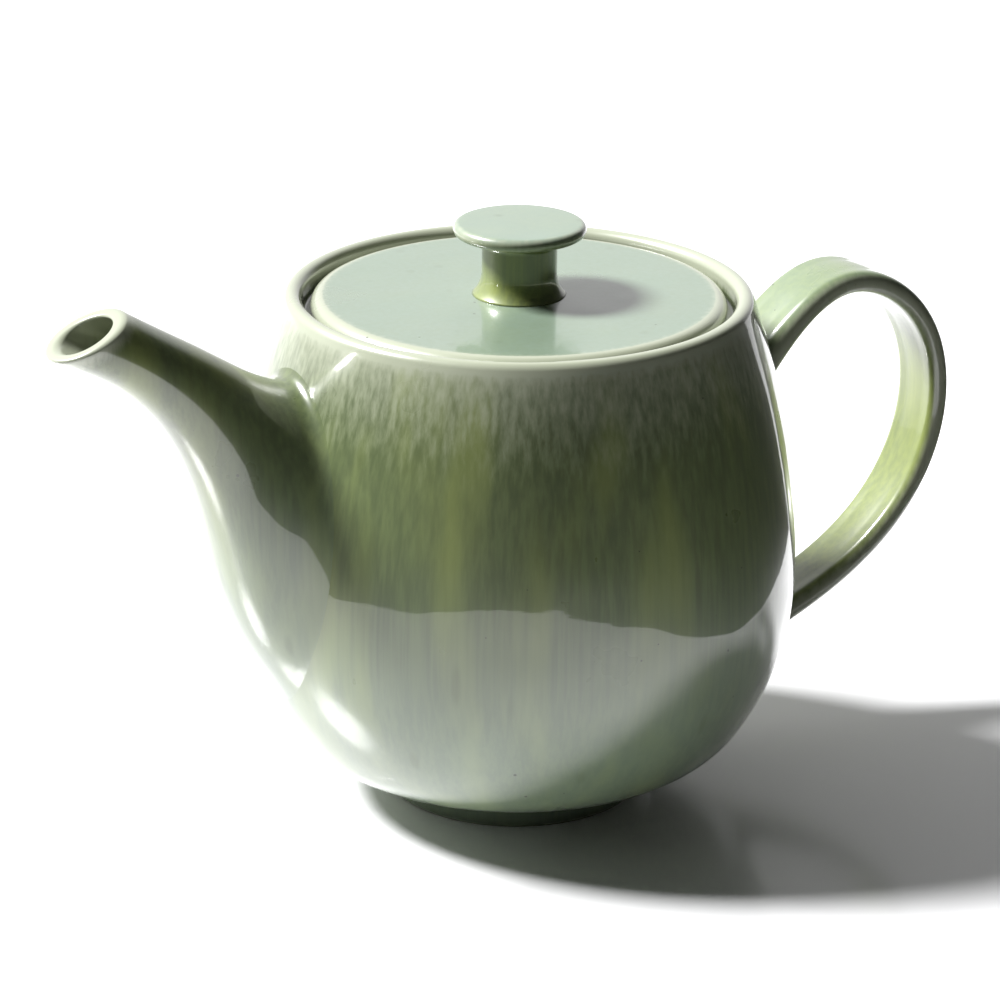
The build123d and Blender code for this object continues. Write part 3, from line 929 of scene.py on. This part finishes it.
class TEAPOT_OT_set_stage(bpy.types.Operator):
    """Sets the white table, the window, the dark side of the room and the camera"""

    bl_idname = "teapot.set_stage"
    bl_label = "Set the Stage"

    def execute(self, context):
        scene, settings = context.scene, context.scene.teapot_stage
        azimuth, elevation = settings.azimuth, settings.elevation
        towards = Vector((sin(azimuth), -cos(azimuth), 0))
        right = Vector((cos(azimuth), sin(azimuth), 0))

        table = bpy.data.meshes.new("table")
        half = TABLE_HALF
        corners = [(-half, -half, 0), (half, -half, 0), (half, half, 0), (-half, half, 0)]
        table.from_pydata(corners, [], [(0, 1, 2, 3)])
        # Pale, with a soft sheen that mirrors the pot's foot.
        sheen = {"Base Color": (0.86, 0.86, 0.87, 1), "Roughness": 0.16, "IOR": 1.4}
        table.materials.append(plain("white_laminate", sheen))
        piece("table", table)

        # Beyond the table's edge the room is dark. The sheet is hidden from the camera, casts
        # no shadow and shows in reflections.
        def reach(way):
            """The table reaches further towards the camera and less far to its right. The dark sheet
            coming in at the right is painted shadow: it stands for the pot's shadow on the table in
            reflections.
            """
            front, beside = max(0.0, way.dot(towards)), max(0.0, way.dot(right))
            return 1 + EDGE_AND_SHADOW_SWAY * front**2 - EDGE_AND_SHADOW_SWAY * beside**2

        start, end = ROOM_ARC
        steps = ROOM_STEPS
        turns = np.linspace(radians(start), radians(end), steps)
        ways = [towards * cos(t) + right * sin(t) for t in turns]
        foot, top = Vector((0, 0, MM)), Vector((0, 0, ROOM_HEIGHT))
        points = [tuple(way * settings.table_edge * reach(way) + foot) for way in ways]
        points += [tuple(way * ROOM_DISTANCE + foot) for way in ways]
        points += [tuple(way * ROOM_DISTANCE + top) for way in ways]
        corners = [k * steps + i for k in range(2) for i in range(steps - 1)]
        sheet = bpy.data.meshes.new("dark_room")
        sheet.from_pydata(points, [], [(i, i + 1, i + steps + 1, i + steps) for i in corners])
        # Painted shade: the sheet stands in for the dark room and soaks up light on the near side.
        soft = {"Base Color": (0.012, 0.013, 0.01, 1), "Roughness": 0.9, "Specular IOR Level": 0.0}
        sheet.materials.append(plain("dark_cloth", soft))
        room = piece("dark_room", sheet)
        room.visible_camera = False
        room.visible_shadow = False

        world = bpy.data.worlds.new("studio")
        scene.world = world
        world.use_nodes = True
        tree = world.node_tree
        tree.nodes.clear()
        way = add_node(tree, "ShaderNodeTexCoord").outputs["Generated"]
        dark_way = radians(DARK_WAY)
        back = -(towards * cos(dark_way) + right * sin(dark_way))
        facing = add_node(tree, "ShaderNodeVectorMath", {0: way, 1: back}, operation="DOT_PRODUCT")
        bright = {0: facing.outputs["Value"], 1: 0.15, 2: 0.6, 3: 0.03, 4: 0.85}
        bright = add_node(tree, "ShaderNodeMapRange", bright, interpolation_type="SMOOTHSTEP")
        # The camera sees the room behind the table as plain white.
        seen = add_node(tree, "ShaderNodeLightPath").outputs["Is Camera Ray"]
        strength = {0: seen, 2: bright.outputs[0], 3: 1.1}
        strength = add_node(tree, "ShaderNodeMix", strength, data_type="FLOAT").outputs[0]
        sky = add_node(tree, "ShaderNodeBackground", {"Color": (1, 1, 1, 1), "Strength": strength})
        add_node(tree, "ShaderNodeOutputWorld", {"Surface": sky.outputs[0]})

        window = bpy.data.lights.new("window", "SUN")
        window.energy = settings.sun
        window.angle = radians(WINDOW_SPREAD)
        light = bpy.data.objects.new("window", window)
        scene.collection.objects.link(light)
        side, lift = radians(WINDOW_BEHIND), radians(WINDOW_LIFT)
        from_light = (right * -cos(side) - towards * sin(side)) * cos(lift) + Vector((0, 0, sin(lift)))
        light.rotation_mode = "QUATERNION"
        light.rotation_quaternion = from_light.to_track_quat("Z", "Y")

        lens = bpy.data.cameras.new("camera")
        lens.lens, lens.sensor_width = CAMERA_LENS, CAMERA_SENSOR
        lens.shift_x, lens.shift_y = CAMERA_SHIFT
        lens.clip_start, lens.clip_end = CAMERA_CLIP
        camera = bpy.data.objects.new("camera", lens)
        scene.collection.objects.link(camera)
        back = towards * cos(elevation) + Vector((0, 0, sin(elevation)))
        camera.location = Vector((0, 0, CAMERA_AIM * MM)) + back * settings.distance
        camera.rotation_mode = "QUATERNION"
        level = back.to_track_quat("Z", "Y")
        camera.rotation_quaternion = level @ Quaternion((0, 0, 1), radians(CAMERA_ROLL))
        scene.camera = camera
        scene.view_settings.view_transform = "Standard"
        return {"FINISHED"}


OPERATORS = (
    TEAPOT_OT_throw_pot,
    TEAPOT_OT_pull_spout,
    TEAPOT_OT_pull_handle,
    TEAPOT_OT_turn_lid,
    TEAPOT_OT_turn_knob,
    TEAPOT_OT_set_stage,
)


class TEAPOT_PT_panel(bpy.types.Panel):
    bl_idname = "TEAPOT_PT_panel"
    bl_label = "Glazed Teapot"
    bl_space_type = "VIEW_3D"
    bl_region_type = "UI"
    bl_category = "Teapot"

    def draw(self, context):
        for operator in OPERATORS:
            self.layout.operator(operator.bl_idname)
        for settings, _ in SETTINGS:
            group = getattr(context.scene, settings)
            box = self.layout.box()
            for name in group.bl_rna.properties.keys():
                if name not in ("rna_type", "name"):
                    box.prop(group, name)


SETTINGS = (
    ("teapot_pot", PotSizes),
    ("teapot_lid", LidSizes),
    ("teapot_limbs", LimbSizes),
    ("teapot_glaze", GlazeColours),
    ("teapot_stage", StageSettings),
)


def register():
    for name, group in SETTINGS:
        bpy.utils.register_class(group)
        setattr(bpy.types.Scene, name, bpy.props.PointerProperty(type=group))
    for made in (*OPERATORS, TEAPOT_PT_panel):
        bpy.utils.register_class(made)


def unregister():
    for made in (TEAPOT_PT_panel, *reversed(OPERATORS)):
        bpy.utils.unregister_class(made)
    for name, group in reversed(SETTINGS):
        delattr(bpy.types.Scene, name)
        bpy.utils.unregister_class(group)


def main():
    register()
    bpy.ops.teapot.throw_pot()
    bpy.ops.teapot.pull_spout()
    bpy.ops.teapot.pull_handle()
    bpy.ops.teapot.turn_lid()
    bpy.ops.teapot.turn_knob()
    bpy.ops.teapot.set_stage()


if __name__ == "__main__":
    main()
